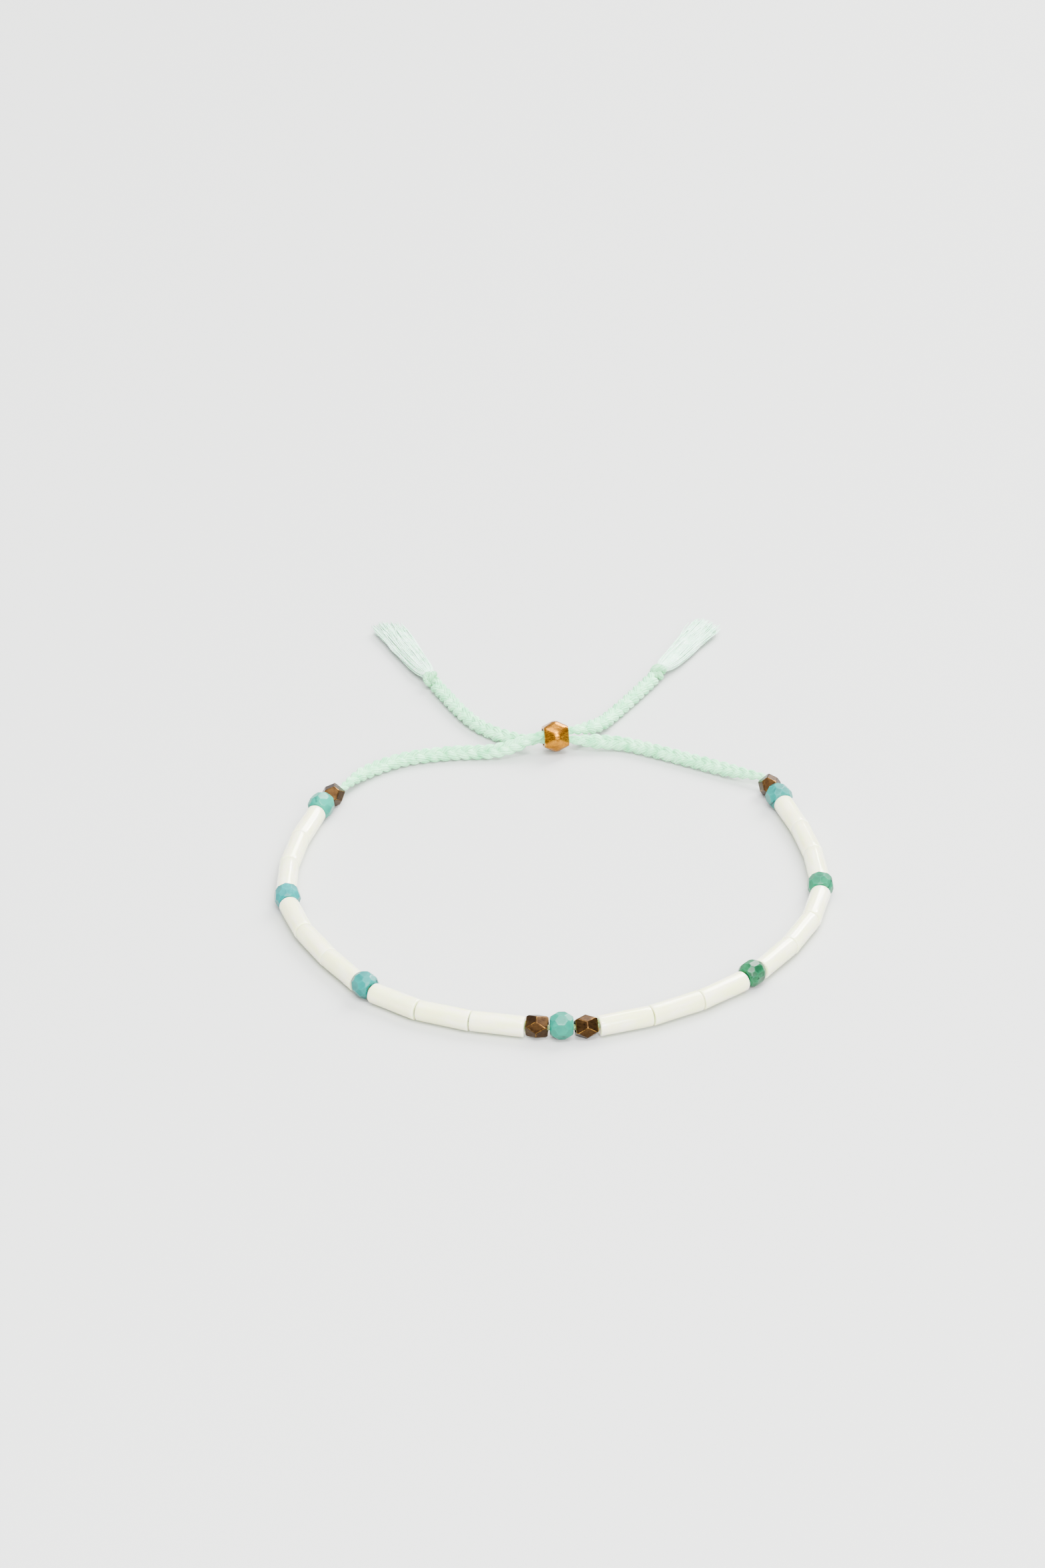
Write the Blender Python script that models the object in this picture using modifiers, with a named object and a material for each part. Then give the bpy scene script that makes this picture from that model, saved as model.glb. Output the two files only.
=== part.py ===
# A strung-bead bracelet that lies on a surface: tubes, faceted stones and brass beads on a thread,
# closed by two braids that cross through a sliding bead and end in knots and tassels.
import math

import bmesh
import bpy
import numpy as np
from mathutils import Matrix, Vector

MM = 0.001

# Tubes
TUBE_LENGTH = 4.94 * MM
TUBE_RADIUS = 0.99 * MM
TUBE_RIM = 0.13 * MM
TUBE_SIDES = 16

# Faceted stones: the girdle is the widest band, the shoulder the ring between it and the end
STONE_LENGTH = 2.1 * MM
STONE_RADIUS = 1.27 * MM
STONE_GIRDLE = 0.96 * MM
STONE_SHOULDER_RADIUS = 1.03 * MM
STONE_SHOULDER_SPAN = 1.68 * MM
STONE_END_RADIUS = 0.66 * MM
STONE_SIDES = 10

# Brass beads: a block whose eight corners are cut off, which leaves a diamond on each side face
BRASS_LENGTH = 2.06 * MM
BRASS_WIDTH = 2.0 * MM
BRASS_DIAMOND_LENGTH = 1.76 * MM
BRASS_DIAMOND_HEIGHT = 1.14 * MM

# Sliding bead, cut in the same way, with a wide hole for two braids
SLIDER_LENGTH = 2.46 * MM
SLIDER_WIDTH = 2.92 * MM
SLIDER_DIAMOND_LENGTH = 2.3 * MM
SLIDER_DIAMOND_HEIGHT = 1.74 * MM
SLIDER_HEADING = math.radians(9)
SLIDER_ROLL = math.radians(22)

# Thread and braids
THREAD_RADIUS = 0.30 * MM
BRAID_RADIUS = 0.76 * MM
BRAID_SQUEEZED_RADIUS = 0.37 * MM
BRAID_START_RADIUS = 0.42 * MM
BRAID_SWELL = 2.6 * MM
BRAID_STEP = 1.1 * MM

# Knots and tassels
KNOT_RADIUS = 0.98 * MM
KNOT_LENGTH = 1.9 * MM
TASSEL_TIP_WIDTH = 3.3 * MM
TASSEL_HEAD_LENGTH = 1.8 * MM
TASSEL_HEAD_RADIUS = 0.8 * MM
LOCK_RADIUS = 0.43 * MM
LOCK_TIP_RADIUS = 0.22 * MM
LOWER_LOCKS = 4
UPPER_LOCKS = 3

# Gaps between pieces that touch or nearly touch on the real bracelet
BEAD_CLEARANCE = 0.07 * MM
THREAD_PLAY = 0.07 * MM
SLIDER_PLAY = 0.08 * MM
SLIDER_CROSSING = 0.16 * MM
END_CLEARANCE = 0.1 * MM
FLOOR_CLEARANCE = 0.02 * MM

# The routes below are drawn to one scale: the loop grows and shrinks with the beads on it, which
# fill this share of the string's route
BEADS_SHARE = 0.9386

# Route of the bead string, from the left end round the front to the right end
STRING_ROUTE = [
    (-21.1, 16.7), (-22.9, 13.1), (-24.9, 5.9), (-25.6, -1.5), (-24.4, -7.9),
    (-21.0, -14.9), (-16.6, -21.2), (-12.2, -24.2), (-6.2, -26.3), (0.5, -27.2),
    (6.3, -26.1), (12.8, -22.7), (18.0, -18.3), (22.4, -11.9), (25.2, -4.5),
    (25.2, 3.3), (23.6, 11.1), (21.0, 18.7),
]

# The stone at the front is threaded a little to the right of the middle
CENTRE_STONE_X = 0.55
SLIDER_PLACE = (0.27, 26.8)

# The string isn't tight everywhere: slack at each joint, from the front stone outward
LEFT_SLACK = [0, 0, 0, 0, 0, 0.02, 0.2, 0.16, 0.05, 0.08, 0, 0.06, 0.09, 0.14]
RIGHT_SLACK = [0, 0, 0.01, 0.3, 0.19, 0.24, 0, 0, 0, 0, 0, 0, 0.04, 0.17]

# Routes of the braids as x, y and lift off the surface, outside the slider: the loop side from
# the end bead to the slider, and the tail from the slider to the knot
LEFT_LOOP = [(-18.5, 21.1, 0.07), (-14.6, 23.9, 0.02), (-10.0, 25.1, 0.02), (-5.4, 25.4, 0.17)]
LEFT_BRAID_TAIL = [(4.3, 29.9, 0.47), (5.7, 32.3, 0.04), (8.4, 37.1, 0.02), (10.3, 40.6, 0.08)]
RIGHT_LOOP = [(17.6, 21.4, 0.08), (13.9, 23.5, 0.02), (10.2, 25.5, 0.02), (6.6, 27.0, 0.07)]
RIGHT_BRAID_TAIL = [(-3.5, 27.7, 0.1), (-6.2, 29.5, 0.02), (-8.6, 32.5, 0.02), (-11.8, 39.1, 0.08)]

# Where the middle of each tassel's tip lies
LEFT_TIP = (-17.1, 52.6)
RIGHT_TIP = (16.3, 53.0)

# How far each bead is turned about the thread
BRASS_ROLLS = [math.radians(a) for a in (17, -24, 5, 12)]

HALF_STRING = ["brass"] + 3 * (3 * ["tube"] + ["stone"]) + ["brass"]
BEAD_LENGTH = {"tube": TUBE_LENGTH, "stone": STONE_LENGTH, "brass": BRASS_LENGTH}
ALL_BEADS = STONE_LENGTH + 2 * sum(BEAD_LENGTH[kind] for kind in HALF_STRING)
BRASS_SLOPE = BRASS_DIAMOND_HEIGHT / BRASS_DIAMOND_LENGTH
BRASS_END = (BRASS_WIDTH + BRASS_DIAMOND_HEIGHT) / 2 - BRASS_SLOPE * BRASS_LENGTH / 2
RIM_RADIUS = {"tube": TUBE_RADIUS - TUBE_RIM / 2, "stone": STONE_END_RADIUS, "brass": BRASS_END}
TUBE_HEIGHT = TUBE_RADIUS * math.cos(math.pi / TUBE_SIDES)
STONE_HEIGHT = STONE_RADIUS * math.cos(math.pi / STONE_SIDES)
THREAD_HEIGHT = (TUBE_HEIGHT + STONE_HEIGHT) / 2
BORE_RADIUS = THREAD_RADIUS + THREAD_PLAY + abs(STONE_HEIGHT - TUBE_HEIGHT) / 2
BRAID_REST = BRAID_RADIUS + FLOOR_CLEARANCE
SLIDER_BORE = 2 * BRAID_SQUEEZED_RADIUS + 2 * SLIDER_PLAY


def clear_scene():
    for obj in list(bpy.data.objects):
        bpy.data.objects.remove(obj, do_unlink=True)


def new_collection(name):
    collection = bpy.data.collections.new(name)
    bpy.context.scene.collection.children.link(collection)
    return collection


def material(name, color, roughness, metallic=0.0):
    made = bpy.data.materials.new(name)
    made.use_nodes = True
    shader = made.node_tree.nodes["Principled BSDF"]
    shader.inputs["Base Color"].default_value = (*color, 1.0)
    shader.inputs["Roughness"].default_value = roughness
    shader.inputs["Metallic"].default_value = metallic
    return made


def add_object(name, data, collection, finish=None):
    obj = bpy.data.objects.new(name, data)
    collection.objects.link(obj)
    if finish is not None:
        data.materials.append(finish)
    return obj


def copy_of(pattern, name, collection):
    obj = pattern.copy()
    obj.name = name
    collection.objects.link(obj)
    return obj


def smooth_through(points, step):
    """Points about one step apart on a smooth curve through the given ones."""
    p = np.array(points, float)
    p = np.vstack([2 * p[0] - p[1], p, 2 * p[-1] - p[-2]])
    t = np.linspace(0, 1, 40, endpoint=False)[:, None]
    pieces = []
    for a, b, c, d in zip(p[:-3], p[1:-2], p[2:-1], p[3:]):
        pieces.append(0.5 * (2 * b + (c - a) * t + (2 * a - 5 * b + 4 * c - d) * t**2
                             + (3 * b - a - 3 * c + d) * t**3))
    fine = np.vstack(pieces + [p[-2:-1]])
    along = np.concatenate([[0], np.cumsum(np.linalg.norm(np.diff(fine, axis=0), axis=1))])
    count = max(2, round(along[-1] / step) + 1)
    wanted = np.linspace(0, along[-1], count)
    return np.stack([np.interp(wanted, along, fine[:, k]) for k in range(p.shape[1])], axis=1)


def route_unit():
    """The length that one step of the drawn routes stands for."""
    drawn = smooth_through(STRING_ROUTE, 0.2)
    return ALL_BEADS / BEADS_SHARE / np.linalg.norm(np.diff(drawn, axis=0), axis=1).sum()


def turned_bead(name, profile, sides, collection, finish):
    """A drilled bead: a closed profile of (along the axis, radius) turned about local X."""
    mesh = bpy.data.meshes.new(name)
    verts = [(x, 0.0, r) for x, r in profile]
    edges = [(k, (k + 1) % len(profile)) for k in range(len(profile))]
    mesh.from_pydata(verts, edges, [])
    obj = add_object(name, mesh, collection, finish)
    screw = obj.modifiers.new("turn", "SCREW")
    screw.axis = "X"
    screw.steps = sides
    screw.render_steps = sides
    screw.use_merge_vertices = True
    screw.merge_threshold = 0.000001
    screw.use_smooth_shade = sides == TUBE_SIDES
    return obj


def tube_profile():
    half = TUBE_LENGTH / 2
    return [(-half, BORE_RADIUS), (half, BORE_RADIUS), (half, TUBE_RADIUS - TUBE_RIM),
            (half - TUBE_RIM, TUBE_RADIUS), (-half + TUBE_RIM, TUBE_RADIUS),
            (-half, TUBE_RADIUS - TUBE_RIM)]


def stone_profile():
    half = STONE_LENGTH / 2
    outer = [(half, max(STONE_END_RADIUS, BORE_RADIUS + THREAD_PLAY)),
             (STONE_SHOULDER_SPAN / 2, STONE_SHOULDER_RADIUS), (STONE_GIRDLE / 2, STONE_RADIUS)]
    mirrored = [(-x, r) for x, r in reversed(outer)]
    return [(-half, BORE_RADIUS), (half, BORE_RADIUS)] + outer + mirrored


def cut_cube(name, length, width, diamond_length, diamond_height):
    """A block with each corner cut by a plane, so that a diamond is left on each side face."""
    mesh = bpy.data.meshes.new(name)
    bm = bmesh.new()
    bmesh.ops.create_cube(bm, size=1.0, matrix=Matrix.Diagonal((length, width, width, 1.0)))
    slope = diamond_height / diamond_length
    reach = (width + diamond_height) / 2
    for sx in (-1, 1):
        for sy in (-1, 1):
            for sz in (-1, 1):
                cut = bmesh.ops.bisect_plane(
                    bm, geom=bm.verts[:] + bm.edges[:] + bm.faces[:], dist=width * 1e-5,
                    plane_co=(0, 0, sz * reach), plane_no=(sx * slope, sy, sz), clear_outer=True)
                rim = [e for e in cut["geom_cut"] if isinstance(e, bmesh.types.BMEdge)]
                bmesh.ops.edgeloop_fill(bm, edges=rim)
    bmesh.ops.recalc_face_normals(bm, faces=bm.faces[:])
    bm.to_mesh(mesh)
    bm.free()
    return mesh


def bore_cutter(name, radius, length, collection):
    mesh = bpy.data.meshes.new(name)
    bm = bmesh.new()
    bmesh.ops.create_cone(bm, cap_ends=True, segments=12, radius1=radius, radius2=radius,
                          depth=2 * length, matrix=Matrix.Rotation(math.pi / 2, 4, "Y"))
    bm.to_mesh(mesh)
    bm.free()
    cutter = add_object(name, mesh, collection)
    cutter.hide_render = True
    cutter.display_type = "WIRE"
    return cutter


def bore_through(obj, cutter):
    cutter.matrix_world = obj.matrix_world
    cut = obj.modifiers.new("bore", "BOOLEAN")
    cut.operation = "DIFFERENCE"
    cut.object = cutter


def lay_bead(obj, place, heading, roll):
    """Puts a bead on its place in plan, turned to its heading, with its lowest point at 0."""
    turn = Matrix.Rotation(heading, 4, "Z") @ Matrix.Rotation(roll, 4, "X")
    bpy.context.view_layer.update()
    shape = obj.evaluated_get(bpy.context.evaluated_depsgraph_get()).to_mesh()
    lowest = min((turn @ v.co).z for v in shape.vertices)
    obj.rotation_euler = (roll, 0.0, heading)
    obj.location = (place[0], place[1], -lowest)
    bpy.context.view_layer.update()


def route_ahead(route, start, here, distance, forward):
    """The first point of the route, from index start on, that lies the distance from here."""
    step = 1 if forward else -1
    k = start
    while 0 <= k + step < len(route):
        a, b = route[k], route[k + step]
        if np.linalg.norm(b - here) >= distance:
            low, high = 0.0, 1.0
            for _ in range(30):
                middle = (low + high) / 2
                if np.linalg.norm(a + (b - a) * middle - here) < distance:
                    low = middle
                else:
                    high = middle
            return a + (b - a) * high, k
        k += step
    a, b = route[k - step], route[k]
    return here + (b - a) / np.linalg.norm(b - a) * distance, k - step


def string_beads(route, unit, first, heading, index, slack, forward):
    """Lays half of the string outward: a list of (kind, start, end) and the joints between beads."""
    beads, joints = [], []
    here, last_kind, last_way, at = first, "stone", heading, index
    for kind, loose in zip(HALF_STRING, slack):
        gap = BEAD_CLEARANCE
        for _ in range(4):
            start = here + last_way * gap
            end, found = route_ahead(route, at, start, BEAD_LENGTH[kind], forward)
            way = (end - start) / np.linalg.norm(end - start)
            bend = math.acos(max(-1.0, min(1.0, float(way @ last_way))))
            gap = BEAD_CLEARANCE + (RIM_RADIUS[kind] + RIM_RADIUS[last_kind]) * math.tan(bend / 2)
            gap += loose * unit
        joints.append(here + last_way * gap / 2)
        beads.append((kind, start, end))
        here, last_kind, last_way, at = end, kind, way, found
    return beads, joints


def strung():
    """Every bead of the string from the left end to the right end, and the thread's route."""
    unit = route_unit()
    route = smooth_through(STRING_ROUTE, 0.2) * unit
    middle = int(np.argmin(abs(route[:, 0] - CENTRE_STONE_X * unit) - (route[:, 1] < 0)))
    across = (route[middle + 3] - route[middle - 3])
    across = across / np.linalg.norm(across)
    centre = route[middle]
    ends = (centre - across * STONE_LENGTH / 2, centre + across * STONE_LENGTH / 2)
    left, left_joints = string_beads(route, unit, ends[0], -across, middle, LEFT_SLACK, False)
    right, right_joints = string_beads(route, unit, ends[1], across, middle, RIGHT_SLACK, True)
    beads = [(kind, b, a) for kind, a, b in reversed(left)] + [("stone", *ends)] + right
    joints = [beads[0][1]] + left_joints[::-1] + right_joints + [beads[-1][2]]
    return beads, joints


def tube_object(name, points, radii, collection, finish, resolution=2):
    """A round cord on a poly spline, with filled caps."""
    curve = bpy.data.curves.new(name, "CURVE")
    curve.dimensions = "3D"
    curve.bevel_depth = 1.0
    curve.bevel_resolution = resolution
    curve.use_fill_caps = True
    spline = curve.splines.new("POLY")
    spline.points.add(len(points) - 1)
    for point, place, radius in zip(spline.points, points, radii):
        point.co = (*place, 1.0)
        point.radius = radius
    obj = add_object(name, curve, collection, finish)
    return obj


def slider_mouths(place, height, crossing):
    """The points just outside both ends of the slider's hole where a braid crosses through it."""
    way = Vector((math.cos(SLIDER_HEADING), math.sin(SLIDER_HEADING), 0.0))
    across = Vector((-way.y, way.x, 0.0))
    middle = Vector((*place, height))
    reach = SLIDER_LENGTH / 2 + SLIDER_PLAY
    return [tuple(middle + (way * reach + across * crossing) * side) for side in (-1, 1)]


def braid_route(end_bead, loop, tail, mouths, unit):
    """The whole route of one braid, from its end bead through the slider to its knot."""
    _, inner, outer = end_bead
    way = (outer - inner) / np.linalg.norm(outer - inner)
    start = outer + way * END_CLEARANCE
    lead = start + way * 2 * BRAID_START_RADIUS
    points = [(*start, THREAD_HEIGHT), (*lead, THREAD_HEIGHT)]
    points += [(x * unit, y * unit, BRAID_REST + lift * unit) for x, y, lift in loop]
    points += mouths
    points += [(x * unit, y * unit, BRAID_REST + lift * unit) for x, y, lift in tail]
    return smooth_through(points, BRAID_STEP)


def braid_radii(points, slider_place):
    """Full width outside, squeezed in the slider's hole, and slimmer where it leaves the bead."""
    along = np.concatenate([[0], np.cumsum(np.linalg.norm(np.diff(points, axis=0), axis=1))])
    way = np.array([math.cos(SLIDER_HEADING), math.sin(SLIDER_HEADING)])
    off = points[:, :2] - slider_place
    beyond = np.abs(off @ way) - SLIDER_LENGTH / 2 - SLIDER_PLAY
    beyond[np.abs(off @ np.array([-way[1], way[0]])) > 2 * SLIDER_BORE] = BRAID_SWELL
    swell = np.clip(beyond / BRAID_SWELL, 0, 1)
    squeezed = BRAID_SQUEEZED_RADIUS + (BRAID_RADIUS - BRAID_SQUEEZED_RADIUS) * swell
    start = BRAID_START_RADIUS + (BRAID_RADIUS - BRAID_START_RADIUS) * np.clip(along / BRAID_SWELL, 0, 1)
    return np.minimum(squeezed, start)


def knot_object(name, place, way, collection, finish):
    """A small tight knot: two full turns side by side, as one rounded body with a waist."""
    mesh = bpy.data.meshes.new(name)
    bm = bmesh.new()
    bmesh.ops.create_uvsphere(bm, u_segments=12, v_segments=9, radius=1.0,
                              matrix=Matrix.Rotation(math.pi / 2, 4, "Y"))
    for v in bm.verts:
        waist = 1.0 - 0.12 * math.exp(-((v.co.x / 0.22) ** 2))
        v.co = (v.co.x * KNOT_LENGTH / 2, v.co.y * KNOT_RADIUS * waist, v.co.z * KNOT_RADIUS * waist)
    bm.to_mesh(mesh)
    bm.free()
    mesh.shade_smooth()
    obj = add_object(name, mesh, collection, finish)
    obj.location = place
    obj.rotation_euler = (0.0, 0.0, math.atan2(way[1], way[0]))
    return obj


def lock_points(start, side, height, tip_height, length):
    """One lock of the tassel along +X: out to its side behind the knot, and down to the surface."""
    spread = (TASSEL_TIP_WIDTH / 2 - LOCK_TIP_RADIUS) * side
    root = (TASSEL_HEAD_RADIUS - LOCK_RADIUS) * side
    points = []
    for share in (start, 0.16, 0.34, 0.56, 0.78, 1.0):
        ease = 0.55 * (1 - (1 - share) ** 10) + 0.45 * share
        wave = 0.25 * LOCK_RADIUS * math.sin(9 * share + 4 * side)
        points.append((length * share, root + (spread - root) * ease + wave,
                       height + (tip_height - height) * min(1.0, 2 * share)))
    return points


def welded_mesh(obj):
    """The object's evaluated mesh, with its caps welded, as a mesh object's data."""
    bpy.context.view_layer.update()
    graph = bpy.context.evaluated_depsgraph_get()
    mesh = bpy.data.meshes.new_from_object(obj.evaluated_get(graph))
    bm = bmesh.new()
    bm.from_mesh(mesh)
    bmesh.ops.remove_doubles(bm, verts=bm.verts[:], dist=0.000001)
    bmesh.ops.recalc_face_normals(bm, faces=bm.faces[:])
    bm.to_mesh(mesh)
    bm.free()
    return mesh


def tassel_object(name, place, way, length, collection, cutters, finish):
    """A head with locks of thread fused to it, lying on the surface."""
    head_points = [(0.0, 0.0, 0.0), (TASSEL_HEAD_LENGTH * 0.5, 0.0, 0.0), (TASSEL_HEAD_LENGTH, 0.0, 0.0)]
    head_radii = [TASSEL_HEAD_RADIUS * 0.72, TASSEL_HEAD_RADIUS, TASSEL_HEAD_RADIUS * 0.9]
    curve = tube_object(name + "_head", head_points, head_radii, cutters, None)
    mesh = welded_mesh(curve)
    bpy.data.objects.remove(curve, do_unlink=True)
    obj = add_object(name, mesh, collection)
    mesh.materials.clear()
    mesh.materials.append(finish)
    base = KNOT_RADIUS
    floor = LOCK_RADIUS + FLOOR_CLEARANCE - base
    rows = [(LOWER_LOCKS, -0.3 * TASSEL_HEAD_RADIUS, floor, 1.0)]
    rows += [(UPPER_LOCKS, 0.3 * TASSEL_HEAD_RADIUS, floor + 1.35 * LOCK_RADIUS, 0.95)]
    for row, (count, height, tip_height, share) in enumerate(rows):
        for k in range(count):
            side = (2 * k / (count - 1) - 1) * (1.0 - 0.25 * row)
            reach = length * share * (1.0 - 0.07 * ((k + row) % 2))
            start = 0.03 + 0.009 * (k + 3.5 * row)
            points = lock_points(start, side, height, tip_height, reach)
            radii = [LOCK_RADIUS] * (len(points) - 2) + [LOCK_RADIUS * 0.85, LOCK_TIP_RADIUS]
            curve = tube_object(f"{name}_lock_{row}_{k}", points, radii, cutters, None, 1)
            lock = add_object(f"{name}_lock_mesh_{row}_{k}", welded_mesh(curve), cutters)
            bpy.data.objects.remove(curve, do_unlink=True)
            lock.hide_render = True
            lock.display_type = "WIRE"
            join = obj.modifiers.new("lock", "BOOLEAN")
            join.operation = "UNION"
            join.object = lock
            lock.parent = obj
    obj.location = (place[0], place[1], base)
    obj.rotation_euler = (0.0, 0.0, math.atan2(way[1], way[0]))
    return obj


def build():
    clear_scene()
    pieces = new_collection("bracelet")
    cutters = new_collection("cutters")
    cream = material("tube_cream", (0.87, 0.87, 0.76), 0.18)
    turquoise = material("stone_turquoise", (0.10, 0.55, 0.49), 0.3)
    brass = material("brass_dark", (0.26, 0.15, 0.06), 0.35, 0.9)
    gold = material("brass_golden", (0.72, 0.44, 0.14), 0.28, 1.0)
    mint = material("braid_mint", (0.66, 0.87, 0.74), 0.85)
    thread_green = material("thread_green", (0.24, 0.46, 0.22), 0.8)

    beads, joints = strung()
    patterns = {
        "tube": turned_bead("tube_bead_01", tube_profile(), TUBE_SIDES, pieces, cream),
        "stone": turned_bead("stone_bead_1", stone_profile(), STONE_SIDES, pieces, turquoise),
    }
    brass_mesh = cut_cube("brass_bead", BRASS_LENGTH, BRASS_WIDTH, BRASS_DIAMOND_LENGTH,
                          BRASS_DIAMOND_HEIGHT)
    brass_mesh.materials.append(brass)
    counts = {"tube": 0, "stone": 0, "brass": 0}
    for kind, start, end in beads:
        counts[kind] += 1
        number = counts[kind]
        way = end - start
        heading = math.atan2(way[1], way[0])
        place = (start + end) / 2
        if kind == "brass":
            obj = bpy.data.objects.new(f"brass_bead_{number}", brass_mesh)
            pieces.objects.link(obj)
            lay_bead(obj, place, heading, BRASS_ROLLS[number - 1])
            bore_through(obj, bore_cutter(f"brass_bore_{number}", BORE_RADIUS, BRASS_LENGTH, cutters))
            continue
        label = f"tube_bead_{number:02d}" if kind == "tube" else f"stone_bead_{number}"
        obj = patterns[kind] if number == 1 else copy_of(patterns[kind], label, pieces)
        sides = TUBE_SIDES if kind == "tube" else STONE_SIDES
        lay_bead(obj, place, heading, math.pi / sides)

    thread = [(*joint, THREAD_HEIGHT) for joint in joints]
    tube_object("bead_thread", thread, [THREAD_RADIUS] * len(thread), pieces, thread_green)

    slider_mesh = cut_cube("slider_bead", SLIDER_LENGTH, SLIDER_WIDTH, SLIDER_DIAMOND_LENGTH,
                           SLIDER_DIAMOND_HEIGHT)
    slider = add_object("slider_bead", slider_mesh, pieces, gold)
    unit = route_unit()
    slider_place = np.array(SLIDER_PLACE) * unit
    lay_bead(slider, slider_place, SLIDER_HEADING, SLIDER_ROLL)
    bore_through(slider, bore_cutter("slider_bore", SLIDER_BORE, SLIDER_LENGTH, cutters))

    middle = slider.location.z
    apart = BRAID_SQUEEZED_RADIUS + SLIDER_PLAY / 2
    low = slider_mouths(slider_place, middle - apart, -SLIDER_CROSSING)
    high = slider_mouths(slider_place, middle + apart, SLIDER_CROSSING)
    left_end = (beads[0][0], beads[0][2], beads[0][1])
    routes = {
        "left_braid": braid_route(left_end, LEFT_LOOP, LEFT_BRAID_TAIL, high, unit),
        "right_braid": braid_route(beads[-1], RIGHT_LOOP, RIGHT_BRAID_TAIL, low[::-1], unit),
    }
    for name, points in routes.items():
        tube_object(name, points, braid_radii(points, slider_place), pieces, mint)
    for side, braid, tip in (("right", "left_braid", RIGHT_TIP), ("left", "right_braid", LEFT_TIP)):
        points = routes[braid]
        way = points[-1][:2] - points[-3][:2]
        way = way / np.linalg.norm(way)
        knot_place = points[-1][:2] + way * (KNOT_LENGTH / 2 + END_CLEARANCE)
        knot_object(f"{side}_knot", (*knot_place, KNOT_RADIUS), way, pieces, mint)
        fall = np.array(tip) * unit - knot_place
        fall = fall / np.linalg.norm(fall)
        tassel_place = knot_place + fall * (KNOT_LENGTH / 2 + END_CLEARANCE)
        length = float(np.linalg.norm(np.array(tip) * unit - tassel_place))
        tassel_object(f"{side}_tassel", tassel_place, fall, length, pieces, cutters, mint)


build()
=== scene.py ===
# Looks of the beaded bracelet: glass tubes, cut stones and worn brass beads on a thread, closed by
# two mint braids that cross in a golden sliding bead and end in knots and tassels.
import math

import bpy
import numpy as np
from mathutils import Matrix, Vector


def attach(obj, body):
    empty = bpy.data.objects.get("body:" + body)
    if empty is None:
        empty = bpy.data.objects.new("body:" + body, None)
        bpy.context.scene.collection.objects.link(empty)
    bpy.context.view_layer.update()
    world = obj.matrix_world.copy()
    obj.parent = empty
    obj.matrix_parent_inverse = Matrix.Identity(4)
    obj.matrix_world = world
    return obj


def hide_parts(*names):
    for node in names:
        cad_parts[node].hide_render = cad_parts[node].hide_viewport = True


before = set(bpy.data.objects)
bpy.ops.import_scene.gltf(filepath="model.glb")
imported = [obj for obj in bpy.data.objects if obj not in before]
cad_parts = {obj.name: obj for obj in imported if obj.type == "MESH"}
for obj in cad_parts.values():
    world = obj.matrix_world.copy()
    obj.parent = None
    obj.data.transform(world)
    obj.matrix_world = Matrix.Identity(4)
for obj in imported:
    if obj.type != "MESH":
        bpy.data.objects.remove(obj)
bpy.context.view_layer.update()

MM = 0.001
rng = np.random.default_rng(11)

# Sizes that the solids have too
TUBE_LENGTH = 4.94 * MM
TUBE_RADIUS = 0.99 * MM
STONE_LENGTH = 2.1 * MM
STONE_RADIUS = 1.27 * MM
STONE_END = 0.66 * MM
BRASS_LENGTH = 2.06 * MM
BRASS_END = 0.9 * MM
BORE_RADIUS = 0.50 * MM
THREAD_HEIGHT = 1.09 * MM
BRAID_REST = 0.78 * MM
SLIDER_PLACE = np.array([0.27, 26.8]) * MM
SLIDER_HEADING = math.radians(9)
SLIDER_LENGTH = 2.46 * MM
SLIDER_MIDDLE = 1.68 * MM
SLIDER_BORE = 0.90 * MM
SLIDER_PLAY = 0.08 * MM
SLIDER_CROSSING = 0.16 * MM
CROSSING_HEIGHT = 0.41 * MM
KNOT_RADIUS = 0.98 * MM
KNOT_LENGTH = 1.9 * MM
KNOT_OVERLAP = 0.1 * MM
CORD_START = 0.1 * MM
CORD_LEAD = 0.84 * MM

# Routes of the braids as x, y and lift off the surface, in mm: the loop side from the end bead to
# the sliding bead, and the tail from there to the knot
LEFT_LOOP = [(-18.5, 21.1, 0.07), (-14.6, 23.9, 0.02), (-10.0, 25.1, 0.02), (-5.4, 25.4, 0.17)]
LEFT_BRAID_TAIL = [(4.3, 29.9, 0.47), (5.7, 32.3, 0.04), (8.4, 37.1, 0.02), (10.3, 40.6, 0.08)]
RIGHT_LOOP = [(17.6, 21.4, 0.08), (13.9, 23.5, 0.02), (10.2, 25.5, 0.02), (6.6, 27.0, 0.07)]
RIGHT_BRAID_TAIL = [(-3.5, 27.7, 0.1), (-6.2, 29.5, 0.02), (-8.6, 32.5, 0.02), (-11.8, 39.1, 0.08)]
LEFT_TIP = np.array([-17.1, 52.6]) * MM
RIGHT_TIP = np.array([16.3, 53.0]) * MM

# How the beads vary and lie closer here than in the solids: the share of a bend that a tube's cut
# follows, the most that a tube or stone is drawn out at an end, and the gap that is left
END_SLANT = 0.7
MOST_DRAWN = 0.3 * MM
STONE_MOST_DRAWN = 0.1 * MM
BEAD_GAP = 0.03 * MM
UNEVENNESS = 0.03

# A stone's rows of facets: tilt from the middle in degrees, turn as a share of a facet, and reach
# as a share of the stone's radius
FACET_ROWS = [(0, 0.0, 0.935), (30, 0.5, 0.98), (-30, 0.5, 0.98), (55, 0.0, 1.01), (-55, 0.0, 1.01)]
FACET_JITTER = 0.03

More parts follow.
